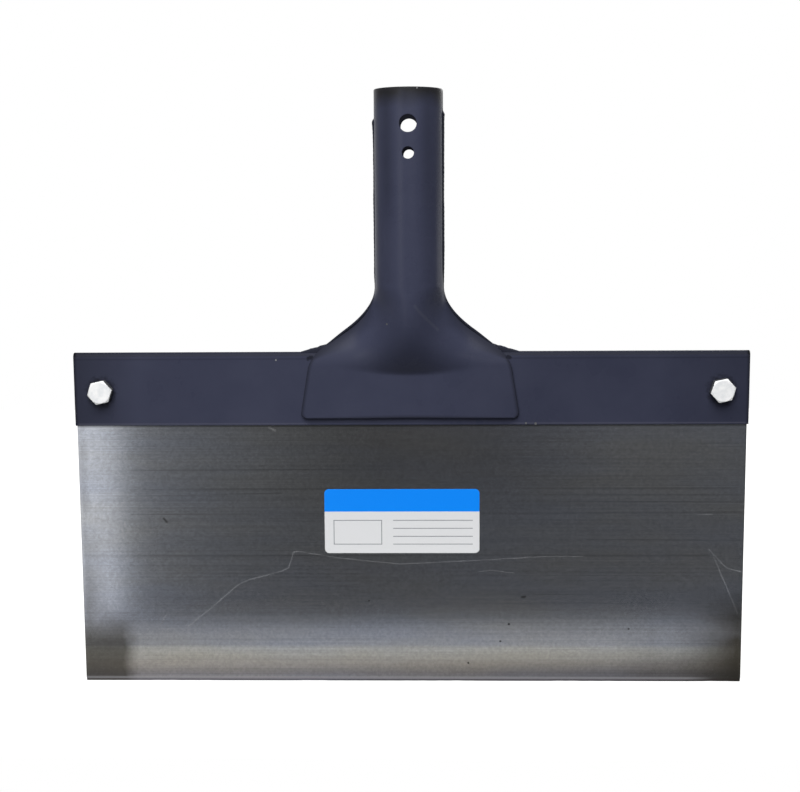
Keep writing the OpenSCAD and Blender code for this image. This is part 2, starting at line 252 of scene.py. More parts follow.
def satinEnamel():
    # Dark satin enamel sprayed on pressed steel: a soft sheen and faint orange peel, thin and grey at the
    # mouth, scorched along the welds, with a few bare nicks; painted shade darkens it towards the ends, below
    # the flare, down the tube's sides, under the chin, in clefts and round the bolts, and painted highlights
    # lie along a crease and the holder's foot
    material, tree = newMaterial("satin enamel on pressed steel")
    place = addNode(tree, "TexCoord").outputs["Object"]
    axes = addNode(tree, "SeparateXYZ", (place,)).outputs
    mottle = addNode(tree, "TexNoise", {"Vector": place, "Scale": perMm(enamel["mottle"]), "Detail": 5.0,
                                        "Roughness": 0.6})
    grain = addNode(tree, "TexNoise", {"Vector": place, "Scale": perMm(enamel["grain"]), "Detail": 4.0,
                                       "Roughness": 0.6})
    mottled = addNode(tree, "MapRange", (mottle, *enamel["mottleFades"]))
    colour = layered(tree, enamel["dark"], [(mottled, enamel["light"])])
    # painted shade, scaled along X and Z
    for axis, inner, outer, shade in enamel["thick"]:
        thick = addNode(tree, "MapRange", (axes[axis], inner * mm, outer * mm, 1, shade))
        colour = addNode(tree, "VectorMath", {0: colour, "Scale": thick}, operation="SCALE")
    # a painted highlight along the crease
    drawn = addNode(tree, "Math", (scoreMask(tree, place, enamel["drawn"]), enamel["creaseHighlightShare"]),
                    operation="MULTIPLY")
    # Thin paint at the mouth, with a broken lower border
    broken = addNode(tree, "TexNoise", {"Vector": place, "Scale": perMm(enamel["rimBreak"])})
    drop = addNode(tree, "Math", (broken, enamel["rimFade"] * mm, axes["Z"]), operation="MULTIPLY_ADD")
    bandEnds = [(fade - enamel["rimBand"]) * mm for fade in (0, enamel["rimFade"])]
    band = addNode(tree, "MapRange", (drop, *bandEnds))
    # Above zero the paint is darker, for weld scorch and for painted shade; below zero it is lighter, a
    # painted highlight along the holder's foot
    sootAndShade = addNode(tree, "Attribute", attribute_name="sootAndShade").outputs["Fac"]
    worn = addNode(tree, "MapRange", (sootAndShade, 0.0, -1.0))
    # painted shadows in the clefts and round the bolts
    cleftShadows, rings = (addNode(tree, "Math", (spotMask(tree, place, grain, enamel[spots]), enamel[share]),
                             operation="MULTIPLY")
                     for spots, share in (("cleftShadows", "cleftShadowShare"), ("boltShadowRings", "boltShadowShare")))
    dark = strongest(tree, [sootAndShade, cleftShadows, rings])
    bare = spotMask(tree, place, grain, enamel["nicks"])
    colour = layered(tree, colour, [(drawn, enamel["bare"]), (band, enamel["rim"]), (worn, enamel["worn"]),
                                    (dark, enamel["sootAndShade"]), (bare, enamel["bare"])])
    peel = addNode(tree, "TexNoise", {"Vector": place, "Scale": perMm(enamel["peel"])})
    bump = addNode(tree, "Bump", {"Height": peel, "Strength": 1.0, "Distance": enamel["peelDepth"] * mm})
    sheen = addNode(tree, "MapRange", (mottle, *enamel["sheen"]))
    dull = addNode(tree, "Math", (dark, enamel["sootAndShadeRoughness"]), operation="MULTIPLY")
    surface = addNode(tree, "BsdfPrincipled",
                      {"Base Color": colour, "Metallic": bare, "Roughness": strongest(tree, [sheen, dull]),
                       "Normal": bump, "Specular IOR Level": enamel["specular"]})
    addNode(tree, "OutputMaterial", (surface,))
    return material


groundBlade = {
    # tint up the blade from its edge, in mm: dark at the edge, a painted highlight at the bevel's top, straw
    # from grinding, then blue-grey
    "tints": [(0, "#7e7c84"), (1.2, "#8a8890"), (1.9, "#aaa8ad"), (2.4, "#abaaae"), (3.0, "#9e9ca3"),
              (4.5, "#9f9c9d"), (8.5, "#b7b2ac"), (12.5, "#c2c0b9"), (16, "#bdbebc"), (17.5, "#a9acb3"),
              (26, "#a9acb4"), (45, "#b7bbc3"), (120, "#bdc1c8")],
    "filmTints": ("#f0f2f8", "#f7f5f1"), "filmLength": 80.0, "filmHeight": 18.0, "filmFades": (0.35, 0.65),
    "grit": 0.55, "gritLength": 160.0, "gritDepth": 0.002, "fleck": 1.1, "sparkle": 0.9,
    "roughness": 0.146, "anisotropy": 0.78, "anisotropyTurn": 0.25,
    # a pattern from and to, and what it gives there
    "gritLevels": (0.3, 0.7, 0.88, 1.1), "fleckLevels": (0.3, 0.7, 0.9, 1.1),
    "sparkleLevels": (0.66, 0.78, 0, 0.08), "scratchLevels": (0.38, 0.62, 0.1, 0.22),
    "lineLevels": (0.35, 0.6, 0.05, 0.25), "stainAndShade": "#3c382f", "cloud": 9.0, "sway": 6.0,
    # stains at the lower corners, and painted shade at the left end and in the middle: a middle along X, how
    # far from it they start and are full, the heights where they start and are full, and how strong
    "stainsAndShade": ((-150.0, 25.0, 17.5, -230.0, -247.5, 0.76), (150.0, 38.0, 3.0, -230.0, -247.5, 0.94),
               (-150.0, 12.0, 3.0, -182.0, -228.0, 0.46), (-150.0, 5.0, 1.0, -130.0, -140.0, 0.28),
               (150.0, 26.0, 3.0, -222.0, -237.0, 0.8), (150.0, 60.0, 40.0, -236.0, -250.0, 0.22),
               (12.0, 80.0, 25.0, -197.0, -165.0, 0.3)),
    # along the edge: darkness at the left and right end, and heights where it starts and is full
    "edgeDark": (0.03, 0.62), "edgeHeights": (16.0, 4.0),
    # painted highlight along the bevel's top: heights of its upper and lower border, where it ends along X,
    # and how strong
    "bevelHighlightHeights": ((2.5, 2.0), (0.8, 1.2)), "bevelHighlightEnd": (138.0, 126.0), "bevelHighlightShare": 0.5, "bevelHighlightTint": "#a9a8ad",
    # painted shadow on the blade just below the holder's foot
    "shadowBelowHolder": (1.17, 0.63), "shadowBelowHolderShare": 0.5,  # drops below the holder
    "bright": "#c9c8c4", "spot": "#2c2b29", "wander": 5.0, "wanderReach": 0.3,
    # lines, each a width and its points as x and z
    "scratches": [(0.4, [(-102.6, -240.8), (-91.6, -232.1), (-78.9, -221.0), (-74.0, -218.8), (-58.8, -214.6),
                         (-55.6, -213.2), (-53.3, -205.8), (-51.1, -205.4)]),
                  (0.3, [(-51.1, -205.4), (-30.8, -208.7), (-5.0, -211.3), (4.2, -210.9), (39.4, -209.1),
                         (60.8, -207.8), (77.8, -207.8)]),
                  (0.35, [(-115.4, -240.8), (-111.7, -233.9)]), (0.25, [(128.3, -188.5), (135.7, -188.6)]),
                  (0.4, [(134.5, -204.6), (139.9, -210.6), (142.6, -213.1), (149.2, -214.9)]),
                  (0.4, [(136.7, -208.4), (142.8, -222.0), (147.9, -234.1)]),
                  (0.25, [(30.9, -214.9), (36.3, -214.2), (46.9, -215.5)]),
                  (0.7, [(-63.5, -148.3), (-60.7, -149.8)])],
    "lines": [(0.45, [(-126.0, -167.9), (-30.0, -167.7)]), (0.6, [(-121.0, -176.6), (146.0, -176.5)]),
              (0.5, [(-114.7, -179.6), (-58.3, -178.5)]), (0.5, [(-126.8, -188.2), (149.0, -187.4)]),
              (0.6, [(-148.8, -207.5), (134.6, -207.3)]), (0.4, [(36.0, -179.4), (149.0, -179.6)]),
              (0.4, [(39.0, -182.0), (149.0, -182.9)]), (0.4, [(79.0, -199.9), (150.0, -200.4)]),
              (0.4, [(55.6, -225.5), (131.9, -225.4)])],
    "gouges": [(0.8, [(-112.1, -190.1), (-110.8, -191.7)]), (0.7, [(50.5, -226.7), (51.9, -226.5)])],
    "gougeShare": 0.65,
    "specks": [(44.5, -0.6, -239.5, 0.6), (40.6, -0.6, -247.5, 0.6), (99.0, -0.6, -241.6, 0.5),
               (26.1, -0.6, -257.7, 0.5), (-19.1, -0.6, -228.5, 0.5)],
}


def bladeTints(tree, place, axes):
    # Tints up the blade under an uneven oil film, broken up by the grinding
    edge = bladeLow[2]
    tall = groundBlade["tints"][-1][0]
    rise = addNode(tree, "MapRange", (axes["Z"], edge * mm, (edge + tall) * mm))
    ramp = addNode(tree, "ValToRGB", (rise,))
    stops = ramp.color_ramp.elements
    for k, (up, tint) in enumerate(groundBlade["tints"]):
        stop = stops[k] if k < 2 else stops.new(1.0)
        stop.position = up / tall
        stop.color = hexLinear(tint)

    def stretched(length, thick, roughness):  # a cloud pattern drawn out along X
        scale = (perMm(length), perMm(thick), perMm(thick))
        drawnOut = addNode(tree, "Mapping", {"Vector": place, "Scale": scale})
        return addNode(tree, "TexNoise", {"Vector": drawnOut, "Scale": 1.0, "Detail": 3.0,
                                          "Roughness": roughness})

    film = stretched(groundBlade["filmLength"], groundBlade["filmHeight"], 0.5)
    grit = stretched(groundBlade["gritLength"], groundBlade["grit"], 0.6)
    fleck = addNode(tree, "TexNoise", {"Vector": place, "Scale": perMm(groundBlade["fleck"])})
    thin, thick = groundBlade["filmTints"]
    oil = layered(tree, thin, [(addNode(tree, "MapRange", (film, *groundBlade["filmFades"])), thick)])
    filmed = addNode(tree, "VectorMath", (ramp, oil), operation="MULTIPLY")
    levels = [addNode(tree, "MapRange", (pattern, *groundBlade[level]))
              for pattern, level in ((grit, "gritLevels"), (fleck, "fleckLevels"))]
    level = addNode(tree, "Math", levels, operation="MULTIPLY")
    colour = addNode(tree, "VectorMath", {0: filmed, "Scale": level}, operation="SCALE")
    return colour, film, grit, fleck


# stains at the lower corners, and painted shade at the left end and in the middle, with cloudy borders
def bladeStainsAndShade(tree, place, axes):  # stained corners and ends, and a darker middle, with cloudy borders
    cloud = addNode(tree, "TexNoise", {"Vector": place, "Scale": perMm(groundBlade["cloud"]), "Detail": 3.0})
    sway = addNode(tree, "Math", (cloud, groundBlade["sway"] * mm, -groundBlade["sway"] / 2 * mm),
                   operation="MULTIPLY_ADD")
    across, upward = (addNode(tree, "Math", (axes[axis], sway), operation="ADD") for axis in "XZ")
    stainsAndShade = []
    for middle, start, full, top, foot, share in groundBlade["stainsAndShade"]:
        away = addNode(tree, "Math", (across, middle * mm), operation="SUBTRACT")
        away = addNode(tree, "Math", (away,), operation="ABSOLUTE")
        near = addNode(tree, "MapRange", (away, start * mm, full * mm, 0, share))
        low = addNode(tree, "MapRange", (upward, top * mm, foot * mm))
        stainsAndShade.append(addNode(tree, "Math", (near, low), operation="MULTIPLY"))
    return strongest(tree, stainsAndShade)


def bladeBorders(tree, axes):
    # Darker along the edge towards the right, a painted highlight on the bevel's top, and a painted shadow
    # where the blade goes up into the holder
    right = addNode(tree, "MapRange", (axes["X"], bladeLow[0] * mm, bladeHigh[0] * mm,
                                       *groundBlade["edgeDark"]))
    low, *borders = (
        addNode(tree, "MapRange", (axes["Z"], *((bladeLow[2] + height) * mm for height in heights)))
        for heights in (groundBlade["edgeHeights"], *groundBlade["bevelHighlightHeights"]))
    edge = addNode(tree, "Math", (right, low), operation="MULTIPLY")
    bevelHighlight = addNode(tree, "Math", borders, operation="MULTIPLY")
    ending = addNode(tree, "MapRange", (axes["X"], *(x * mm for x in groundBlade["bevelHighlightEnd"]), 0,
                                        groundBlade["bevelHighlightShare"]))
    bevelHighlight = addNode(tree, "Math", (bevelHighlight, ending), operation="MULTIPLY")
    drops = [(holderLow[2] - drop) * mm for drop in groundBlade["shadowBelowHolder"]]
    under = addNode(tree, "MapRange", (axes["Z"], *drops))
    under = addNode(tree, "Math", (under, groundBlade["shadowBelowHolderShare"]), operation="MULTIPLY")
    return edge, bevelHighlight, under


def bladeMarks(tree, place, film, fleck):
    # Worn lines, matt scratches with sparkling grains, and dark pits. Scratches and gouges follow a slightly
    # wandering place, and fade in and out along their way.
    drift = addNode(tree, "TexNoise", {"Vector": place, "Scale": perMm(groundBlade["wander"]), "Detail": 3.0})
    bend = addNode(tree, "VectorMath", (drift.outputs["Color"], (0.5, 0.5, 0.5)), operation="SUBTRACT")
    bent = addNode(tree, "VectorMath", (bend, (2 * groundBlade["wanderReach"] * mm,) * 3, place),
                   operation="MULTIPLY_ADD")
    grains = addNode(tree, "TexNoise", {"Vector": place, "Scale": perMm(groundBlade["sparkle"])})
    faint, faded, sparkle = (
        addNode(tree, "MapRange", (pattern, *groundBlade[level]))
        for pattern, level in ((drift, "scratchLevels"), (film, "lineLevels"), (grains, "sparkleLevels")))
    worn, scratched, gouged = (
        addNode(tree, "Math", (scoreMask(tree, where, groundBlade[lines]), share), operation="MULTIPLY")
        for where, lines, share in ((place, "lines", faded), (bent, "scratches", faint),
                                    (bent, "gouges", groundBlade["gougeShare"])))
    pits = strongest(tree, [gouged, spotMask(tree, place, fleck, groundBlade["specks"])])
    return worn, strongest(tree, [scratched, sparkle]), pits


def groundSteel():
    # Carbon steel ground along the blade and oiled: fine lines along X that drag reflections up and down,
    # faint heat and oil tints, stained lower corners, painted shade at the left end, in the middle and below
    # the holder, a painted highlight on the bevel's top, and handling scratches
    material, tree = newMaterial("ground carbon steel")
    place = addNode(tree, "TexCoord").outputs["Object"]
    axes = addNode(tree, "SeparateXYZ", (place,)).outputs
    colour, film, grit, fleck = bladeTints(tree, place, axes)
    stainsAndShade = bladeStainsAndShade(tree, place, axes)
    edge, bevelHighlight, under = bladeBorders(tree, axes)
    worn, matt, pits = bladeMarks(tree, place, film, fleck)
    spot = groundBlade["spot"]
    colour = layered(tree, colour, [(stainsAndShade, groundBlade["stainAndShade"]), (edge, spot),
                                    (bevelHighlight, groundBlade["bevelHighlightTint"]), (under, spot), (worn, spot),
                                    (matt, groundBlade["bright"]), (pits, spot)])
    # Scratches and sparkling grains scatter light as a matt surface does
    metal = addNode(tree, "Math", (1.0, matt), operation="SUBTRACT")
    bump = addNode(tree, "Bump", {"Height": grit, "Strength": 1.0, "Distance": groundBlade["gritDepth"] * mm})
    tangent = addNode(tree, "Tangent", direction_type="UV_MAP", uv_map="flat")
    surface = addNode(tree, "BsdfPrincipled",
                      {"Base Color": colour, "Metallic": metal, "Roughness": groundBlade["roughness"],
                       "Anisotropic": groundBlade["anisotropy"],
                       "Anisotropic Rotation": groundBlade["anisotropyTurn"],
                       "Tangent": tangent, "Normal": bump})
    addNode(tree, "OutputMaterial", (surface,))
    return material


zincFinish = {
    "bright": "#fcfcfc", "dull": "#eceef0", "sootAndShade": "#26282d", "cloud": 2.5, "cloudFades": (0.35, 0.65),
    "roughness": (0.3, 0.7, 0.38, 0.52), "metallic": 0.1, "pit": 0.35, "pitDepth": 0.008,
}


def zincPlate():
    # Bright zinc on cold-headed steel: pale and satin, with faint clouds and fine pits, and painted shade on
    # a bolt head's sides
    material, tree = newMaterial("zinc plated steel")
    place = addNode(tree, "TexCoord").outputs["Object"]
    cloud = addNode(tree, "TexNoise", {"Vector": place, "Scale": perMm(zincFinish["cloud"]), "Detail": 4.0})
    clear = addNode(tree, "MapRange", (cloud, *zincFinish["cloudFades"]))
    sootAndShade = addNode(tree, "Attribute", attribute_name="sootAndShade").outputs["Fac"]
    colour = layered(tree, zincFinish["dull"], [(clear, zincFinish["bright"]), (sootAndShade, zincFinish["sootAndShade"])])
    pits = addNode(tree, "TexNoise", {"Vector": place, "Scale": perMm(zincFinish["pit"])})
    bump = addNode(tree, "Bump", {"Height": pits, "Strength": 1.0, "Distance": zincFinish["pitDepth"] * mm})
    satin = addNode(tree, "MapRange", (cloud, *zincFinish["roughness"]))
    surface = addNode(tree, "BsdfPrincipled", {"Base Color": colour, "Metallic": zincFinish["metallic"],
                                               "Roughness": satin, "Normal": bump})
    addNode(tree, "OutputMaterial", (surface,))
    return material


labelForm = {
    "corner": 2.0, "rimRound": 0.04, "white": "#dfe0e2", "blue": "#0088fa", "rule": "#85898e",
    "bandShare": 0.35, "fibre": 0.6, "fibreDepth": 0.003, "gloss": (0.0, 1.0, 0.32, 0.44), "specular": 0.3,
    # thin bars from the label's centre, x and z with width and height in mm: an empty frame and four rules
    "bars": [(-20, 0.4, 22, 0.35), (-20, -10.6, 22, 0.35), (-30.8, -5.1, 0.35, 11), (-9.2, -5.1, 0.35, 11),
             (14, 0.4, 36, 0.35), (14, -3.3, 36, 0.35), (14, -7, 36, 0.35), (14, -10.6, 36, 0.35)],
    "columns": 60, "rows": 20, "cornerSteps": 12,
}
labelLow, labelHigh = boxMm("label")


def labelFilm():
    # Printed vinyl film: white with a flat blue band, an empty frame and writing rules, and a low even gloss
    material, tree = newMaterial("printed vinyl film")
    place = addNode(tree, "TexCoord").outputs["Object"]
    centre = (labelLow + labelHigh) / 2

    def bar(x, z, width, height):  # full within half the width and half the height of its own centre
        middle = ((centre[0] + x) * mm, 0, (centre[2] + z) * mm)
        away = addNode(tree, "VectorMath", (place, middle), operation="SUBTRACT")
        away = addNode(tree, "VectorMath", (away,), operation="ABSOLUTE")
        axes = addNode(tree, "SeparateXYZ", (away,)).outputs
        sides = [addNode(tree, "Math", (axes[axis], size / 2 * mm), operation="LESS_THAN")
                 for axis, size in (("X", width), ("Z", height))]
        return addNode(tree, "Math", sides, operation="MULTIPLY")

    bars = strongest(tree, [bar(*form) for form in labelForm["bars"]])
    bandFoot = labelHigh[2] - labelForm["bandShare"] * (labelHigh[2] - labelLow[2])
    height = addNode(tree, "SeparateXYZ", (place,)).outputs["Z"]
    band = addNode(tree, "Math", (height, bandFoot * mm), operation="GREATER_THAN")
    colour = layered(tree, labelForm["white"], [(bars, labelForm["rule"]), (band, labelForm["blue"])])
    fibre = addNode(tree, "TexNoise", {"Vector": place, "Scale": perMm(labelForm["fibre"])})
    bump = addNode(tree, "Bump", {"Height": fibre, "Strength": 1.0, "Distance": labelForm["fibreDepth"] * mm})
    gloss = addNode(tree, "MapRange", (fibre, *labelForm["gloss"]))
    surface = addNode(tree, "BsdfPrincipled", {"Base Color": colour, "Roughness": gloss, "Normal": bump,
                                               "Specular IOR Level": labelForm["specular"]})
    addNode(tree, "OutputMaterial", (surface,))
    return material


paintMaterial = satinEnamel()
steelMaterial = groundSteel()
zincMaterial = zincPlate()
labelMaterial = labelFilm()
print("materials ready")


# Socket shells: half a tube that opens into a flare and lies down on the holder as a pad

shell = {
    "sheet": 1.5, "tubeLength": 84.7, "flareLength": 29.7, "flareBend": 18.2, "shoulderIn": 1.1,
    "chinStart": 4.2, "chinDrop": 9.6, "chinArc": 160.0, "chinBlend": 0.8, "padTop": 85.0, "padSpread": 6.0,
    "padHeight": 29.6, "padCorner": 3.0, "padFlank": 88.2, "shoulderBlend": 6.0, "rimRound": 0.45,
    "bellTop": 0.5, "bellFoot": 4.2, "rimFrom": 18.0, "rimTo": 36.0, "sharp": 0.001,
    "holes": [(15.3, 3.75, 5.2), (27.7, 2.55, 4.0)],  # drop below the mouth, radius, half window
    # painted shade inside the tube and on the holes' walls: how dark, and how far in from the rim it is full
    "holeRound": 0.15, "holeRows": 7, "insideShade": 0.9, "insideFade": 2.0,
    # darkening in from the seams, weld soot and painted shade along the edges: the depth, then its reach at
    # the left and right, and the share that is full
    "seamSootShadeReach": ((-40, 0.5, 4.2), (-8, 1.6, 4.2), (4, 2.4, 3.0), (20, 3.0, 3.0), (26, 2.0, 2.0),
                  (31, 0.6, 0.6)), "seamSootShadeFull": 0.3, "edgeSootShade": 0.62, "edgeSootShadeFrom": 8.0,
    # darker paint near the seams, weld scorch close in and painted shade further out over the flare: the
    # depth and its reach
    "scorchAndShade": 0.58, "scorchAndShadeReach": ((2, 0.5), (10, 4), (18, 13), (26, 14), (29, 12), (33, 2)),
    # painted shade under the chin: how dark, where it starts, and how fast it narrows sideways
    "chinShade": 0.32, "chinShadeFrom": 20.0, "chinShadePower": 14,
    # painted shade down the tube's sides: degrees from the front, half width, and how dark
    "tubeSideShade": ((-37.0, 20.0, 0.3), (33.0, 19.0, 0.2)),
    "tubeSideShadeFades": (38.0, 62.0, 0.35),  # drops below the mouth where it thins, and the share left
    # grid rows to each end of the holes' windows, the tube's end, the chin's foot and the pad's corner
    "rows": (8, 15, 4, 12, 30, 90, 12), "cornerRows": 15, "columns": 121, "bunching": 1.6, "rowSlack": 1e-6,
}
tubeTop = -shell["tubeLength"]  # depth of the mouth, as depth is counted down from the tube's end
padY = holderHalf + shell["sheet"]
padFoot = shell["flareLength"] + shell["padHeight"]
chinFoot = shell["flareLength"] + shell["chinDrop"]
flareSlope = (shell["padTop"] / 2 - shell["shoulderIn"] - tubeRadius) \
    / (shell["flareLength"] - shell["flareBend"] / 2)


def cornerCut(depth, foot, radius):  # what a round lower corner takes off the half width
    into = np.clip(depth - (foot - radius), 0, radius)
    return radius - np.sqrt(radius ** 2 - into ** 2)


def shellSide(depth):  # half width: a parabola into a straight flare, then the pad's leaning side
    d = np.maximum(depth, 0)
    bent = np.minimum(d, shell["flareBend"])
    flare = tubeRadius + flareSlope / (2 * shell["flareBend"]) * bent ** 2 \
        + flareSlope * np.maximum(d - shell["flareBend"], 0)
    spreadTo = shell["padTop"] / 2 + shell["padSpread"]
    lean = (spreadTo - shell["padFlank"] / 2) / (shell["padHeight"] - shell["padCorner"])
    pad = shell["padFlank"] / 2 + lean * (d - shell["flareLength"])
    return softMin(flare, pad, shell["shoulderBlend"]) - cornerCut(d, padFoot, shell["padCorner"])


def rimRise(depth):  # how far the shells' edges have come apart to straddle the holder, 0 to 1
    return ease((depth - shell["rimFrom"]) / (shell["rimTo"] - shell["rimFrom"]))


def shellFace(depth, angle, inset):
    # Rear shell at each depth and angle: x = side sin a, y = rim + hump cos(a)^(2 bell), z = -tube - depth.
    # The hump is the crown, tube - (tube - pad) fall^2, where an arc at its foot brings it down to the pad.
    d, a = np.meshgrid(depth, np.radians(angle), indexing="ij")
    down = np.maximum(d, 0)
    opened = ease(down / shell["flareLength"])
    x = (shellSide(d) - inset * (1 - opened)) * np.sin(a)
    arc = shell["chinArc"] - np.sqrt(np.clip(shell["chinArc"] ** 2 - x ** 2, 0, None))
    fall = np.clip(down + arc - shell["chinStart"], 0, None) / (chinFoot - shell["chinStart"])
    crown = tubeRadius - (tubeRadius - padY) * fall ** 2
    rim = rimRise(d) * (padY - inset)
    hump = -softMin(rim + inset - crown, 0, shell["chinBlend"] * opened + shell["sharp"])
    bell = shell["bellTop"] + (shell["bellFoot"] - shell["bellTop"]) * opened
    return np.stack([x, rim + hump * np.clip(np.cos(a), 0, None) ** (2 * bell), -shell["tubeLength"] - d], -1)


def shellRows():  # depths of the rows, doubled at both ends, with one at each end of a hole's window
    windows = [tubeTop + drop + side * window for drop, _, window in shell["holes"] for side in (-1, 1)]
    corner = padFoot - shell["padCorner"] * (1 - np.sin(np.linspace(0, np.pi / 2, shell["cornerRows"])))
    stops = [tubeTop + shell["rimRound"], *windows, 0, chinFoot + 2 * shell["chinBlend"], corner[0]]
    spans = [np.linspace(start, end, count)[1:] for start, end, count in zip(stops, stops[1:], shell["rows"])]
    return np.concatenate([[tubeTop], tubeTop + shell["rimRound"] * (1 - np.cos(quarter)), *spans[:-1],
                           spans[-1][:-1], corner, [padFoot]])


def shellSoot(depth, angle, gap, x):
    # How dark the paint is, 0 to 1: the most of weld soot and painted shade in from the seams, weld scorch
    # and painted shade over the flare, painted shade down the tube and painted shade under the chin, which
    # ends at its foot
    at, left, right = zip(*shell["seamSootShadeReach"])
    reach = np.where(angle > 0, np.interp(depth, at, right)[:, None], np.interp(depth, at, left)[:, None])
    # weld soot and painted shade in from the seams
    seams = shell["edgeSootShade"] * (1 - ease((gap / reach - shell["seamSootShadeFull"]) / (1 - shell["seamSootShadeFull"])))
    seams = seams * (depth > tubeTop + shell["edgeSootShadeFrom"])[:, None]
    # weld scorch and painted shade over the flare
    wide = np.interp(depth, *zip(*shell["scorchAndShadeReach"]))[:, None]
    heat = shell["scorchAndShade"] * (1 - ease(gap / wide)) * (depth > 0)[:, None]
    # painted shade down the tube's sides
    start, end, least = shell["tubeSideShadeFades"]
    fade = 1 - (1 - least) * ease((depth - tubeTop - start) / (end - start))
    fade = (fade * (depth < 0))[:, None]
    sides = [most * fade * (1 - ease(np.abs(angle - middle) / half))
             for middle, half, most in shell["tubeSideShade"]]
    # painted shade under the chin, ending at its foot
    down = depth[:, None] + shell["chinArc"] - np.sqrt(shell["chinArc"] ** 2 - x ** 2)
    under = ease((down - shell["chinShadeFrom"]) / (chinFoot - shell["chinShadeFrom"]))
    under = under * (1 - ease(down - chinFoot))
    chin = shell["chinShade"] * under * np.clip(np.cos(np.radians(angle)), 0, None) ** shell["chinShadePower"]
    return np.max([seams, heat, *sides, chin], 0)


def holePatch(outer, inner, rows, cols, drop, radius):
    # From the window's border in to the hole, round its edge, through the wall and out again on the inner
    # face. On a face of radius R every point has y = sqrt(R^2 - x^2).
    (top, foot), (left, right) = rows, cols
    i = np.concatenate([np.full(right - left, top), np.arange(top, foot), np.full(right - left, foot),
                        np.arange(foot, top, -1)])
    j = np.concatenate([np.arange(left, right), np.full(foot - top, right), np.arange(right, left, -1),
                        np.full(foot - top, left)])
    turn = np.arctan2(outer[i, j, 2] + drop, outer[i, j, 0])
    near = radius + shell["holeRound"] * (1 - np.sin(quarter))
    deep = shell["holeRound"] * (1 - np.cos(quarter))

    def ring(size, depth):
        x = size * np.cos(turn)
        return np.stack([x, np.sqrt((tubeRadius - depth) ** 2 - x ** 2), size * np.sin(turn) - drop], -1)

    def inward(border, depth):  # rows between the window's border and the hole, on one face
        share = np.linspace(0, 1, shell["holeRows"])[:-1, None, None]
        flat = border + (ring(near[0], depth) - border) * share
        flat[..., 1] = np.sqrt((tubeRadius - depth) ** 2 - flat[..., 0] ** 2)
        return flat

    across = [ring(size, depth) for size, depth in zip(near, deep)]
    back = [ring(size, shell["sheet"] - depth) for size, depth in zip(near[::-1], deep[::-1])]
    return np.concatenate([inward(outer[i, j], 0), across, back, inward(inner[i, j], shell["sheet"])[::-1]])


def socketShell(name, node, facing):
    depth = shellRows()
    u = np.linspace(-1, 1, shell["columns"])
    angle = 90 * np.sign(u) * (1 - (1 - np.abs(u)) ** shell["bunching"])
    angle = np.concatenate([[-90], angle, [90]])
    outer, inner, gap = sheetSkin(shellFace(depth, angle, 0), shellFace(depth, angle, shell["sheet"]),
                                  shell["rimRound"])
    sootAndShade = shellSoot(depth, angle, gap, outer[..., 0])
    # painted shade inside the tube
    inside = np.maximum(sootAndShade, shell["insideShade"] * ease(gap / shell["insideFade"]))
    keep = np.ones((len(depth) - 1, len(angle) - 1), bool)
    flip = np.array([1, facing, 1])
    holes = []
    for drop, radius, window in shell["holes"]:
        ends = np.array([drop - window, drop + window])
        rows = np.searchsorted(depth, tubeTop + ends - shell["rowSlack"])
        within = np.flatnonzero(np.abs(angle) <= math.degrees(math.asin(window / tubeRadius)))
        cols = within[0], within[-1]
        keep[rows[0]:rows[1], cols[0]:cols[1]] = False
        hole = holePatch(outer, inner, rows, cols, drop, radius)
        # painted shade on the holes' walls
        dark = np.arange(len(hole)) > shell["holeRows"] + 1  # from the edge's round inwards
        wall = np.broadcast_to(shell["insideShade"] * dark[:, None], hole.shape[:2])
        holes.append(patch(hole * flip, closed=True, sootAndShade=wall))
    faces = [patch(outer * flip, keep=keep, sootAndShade=sootAndShade), patch(inner * flip, keep=keep, sootAndShade=inside)]
    makePiece(name, faces + holes, paintMaterial, "head", [node])


socketShell("frontShell", "socket_front_shell", -1)
socketShell("rearShell", "socket_rear_shell", 1)


# Welds: rippled beads along the two seams, and a heap at each foot of the flare

weld = {
    "starts": (12.0, 8.9),  # drops below the mouth where the left and right seams start
    "proud": 0.5, "depth": 1.2, "blob": 0.5, "blobRise": 2.0, "blobFall": 4.0, "fill": 0.7, "fade": 16.0,
    "uneven": 0.08, "unevenTurns": (37.0, 17.0, 8.3), "unevenShift": 31.0,
    "ripple": 0.03, "ripplePitch": 1.9, "rippleLag": 0.3, "sides": 28, "step": 0.35, "sootAndShade": 0.75,
    "overTube": (0.0, 2.5),  # how much further the left and right beads reach over the tube
    "toeHeight": 3.3, "toeReach": 6.0, "toeTip": 0.1, "toeHalf": 1.4, "toeTipHalf": 1.2, "toeRows": 60,
    "toeLump": 0.1, "lumpTurns": (5.2, 2.3), "lumpShift": 17.0, "toeSoot": 0.65, "sharpDegrees": 60,
}
weldAngle = np.linspace(0, 2 * np.pi, weld["sides"], endpoint=False)[None, :]


def makeBead(name, node, ring, side, sootAndShade):
    bead = patch(ring * np.array([side, 1, 1]), closed=True, sootAndShade=np.full(ring.shape[:2], sootAndShade))
    makePiece(name, [bead], paintMaterial, "head", [node],
              sharpDegrees=weld["sharpDegrees"])


